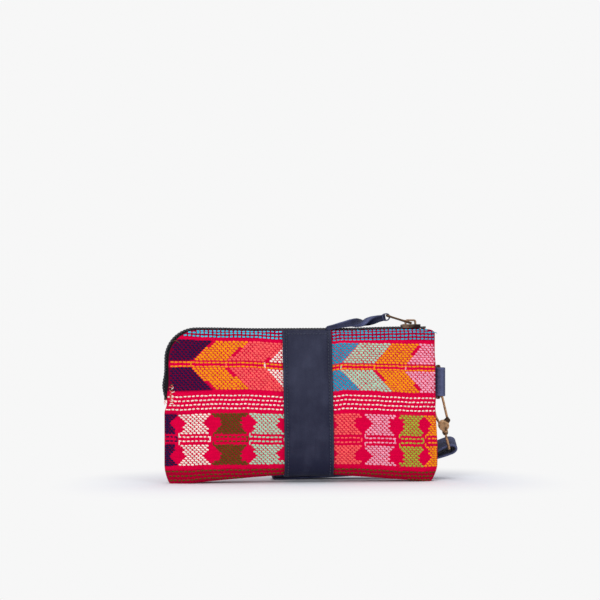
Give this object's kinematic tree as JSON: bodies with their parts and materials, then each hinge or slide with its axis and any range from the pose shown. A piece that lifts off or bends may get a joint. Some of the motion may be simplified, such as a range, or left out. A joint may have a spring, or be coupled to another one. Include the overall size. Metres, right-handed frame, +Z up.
{
  "type": "woven wristlet",
  "caption": "Small zipped pouch of brocade cloth with a leather band, and a folded leather wrist strap on a swivel snap hook and D-ring.",
  "frame": {"origin": "bottom centre of the whole part's box, on the floor that the pouch stands on", "axes": "+X along the width, from the zip's rounded corner towards the wrist strap; +Y from the front to the back; +Z up"},
  "size_m": [0.2226, 0.0446, 0.1266],
  "materials": {
    "brocade": "hand-woven cotton with raised coloured brocade floats",
    "lining": "plain woven cotton",
    "leather": "waxed pull-up leather, lighter where it bends",
    "zip_tape": "woven tape",
    "zip_coil": "moulded nylon coil",
    "aged_brass": "antiqued, dark in its hollows",
    "dark_steel": "blackened"
  },
  "bodies": {
    "pouch": {"front_panel": "brocade", "back_panel": "brocade", "front_lining": "lining", "back_lining": "lining", "leather_band": "leather", "zip_tape_front": "zip_tape", "zip_tape_back": "zip_tape", "zip_coil_front": "zip_coil", "zip_coil_back": "zip_coil", "zip_top_stop_front": "dark_steel", "zip_top_stop_back": "dark_steel", "zip_bottom_stop": "dark_steel", "side_tab": "leather"},
    "slider": {"slider_body": "aged_brass", "slider_bridge": "aged_brass"},
    "link": {"pull_link": "aged_brass"},
    "thong": {"pull_thong": "leather"},
    "ring": {"d_ring": "aged_brass"},
    "hook": {"snap_hook": "aged_brass", "gate_pin": "dark_steel", "gate_spring": "dark_steel"},
    "gate": {"hook_gate": "aged_brass"},
    "eye": {"swivel_eye": "aged_brass", "swivel_rivet": "dark_steel"},
    "strap": {"wrist_strap": "leather"}
  },
  "joints": [
    {"name": "slider_travel", "type": "slide", "parent": "pouch", "child": "slider", "axis": [-0.9999, 0, -0.0106], "range_m": [0, 0.15]},
    {"name": "link_tilt", "type": "hinge", "parent": "slider", "child": "link", "pos_m": [0.07185, -0.00737, 0.11875], "axis": [0, 1, 0], "range_deg": [0, 120]},
    {"name": "thong_swing", "type": "hinge", "parent": "link", "child": "thong", "pos_m": [0.05575, -0.00737, 0.12355], "axis": [0, 1, 0], "range_deg": [0, 60]},
    {"name": "ring_turn", "type": "hinge", "parent": "pouch", "child": "ring", "pos_m": [0.09385, -0.00737, 0.0745], "axis": [0, 0, -1], "range_deg": [0, 140]},
    {"name": "hook_swing", "type": "hinge", "parent": "ring", "child": "hook", "pos_m": [0.09434, 0.00192, 0.0626], "axis": [-0.0523, -0.9986, 0], "range_deg": [0, 110]},
    {"name": "gate_open", "type": "hinge", "parent": "hook", "child": "gate", "pos_m": [0.10383, 0.00572, 0.04538], "axis": [-0.0508, -0.969, -0.2419], "range_deg": [0, 28], "stiffness_Nm_per_rad": 0.004, "springref_deg": -17.19},
    {"name": "eye_swivel", "type": "hinge", "parent": "hook", "child": "eye", "pos_m": [0.10088, 0.00694, 0.04113], "axis": [0.2841, 0.2182, -0.9336], "range_deg": [0, 240]},
    {"name": "strap_swing", "type": "hinge", "parent": "eye", "child": "strap", "pos_m": [0.10576, 0.01069, 0.02507], "axis": [-0.1671, -0.9476, -0.2723], "range_deg": [0, 100]}
  ]
}
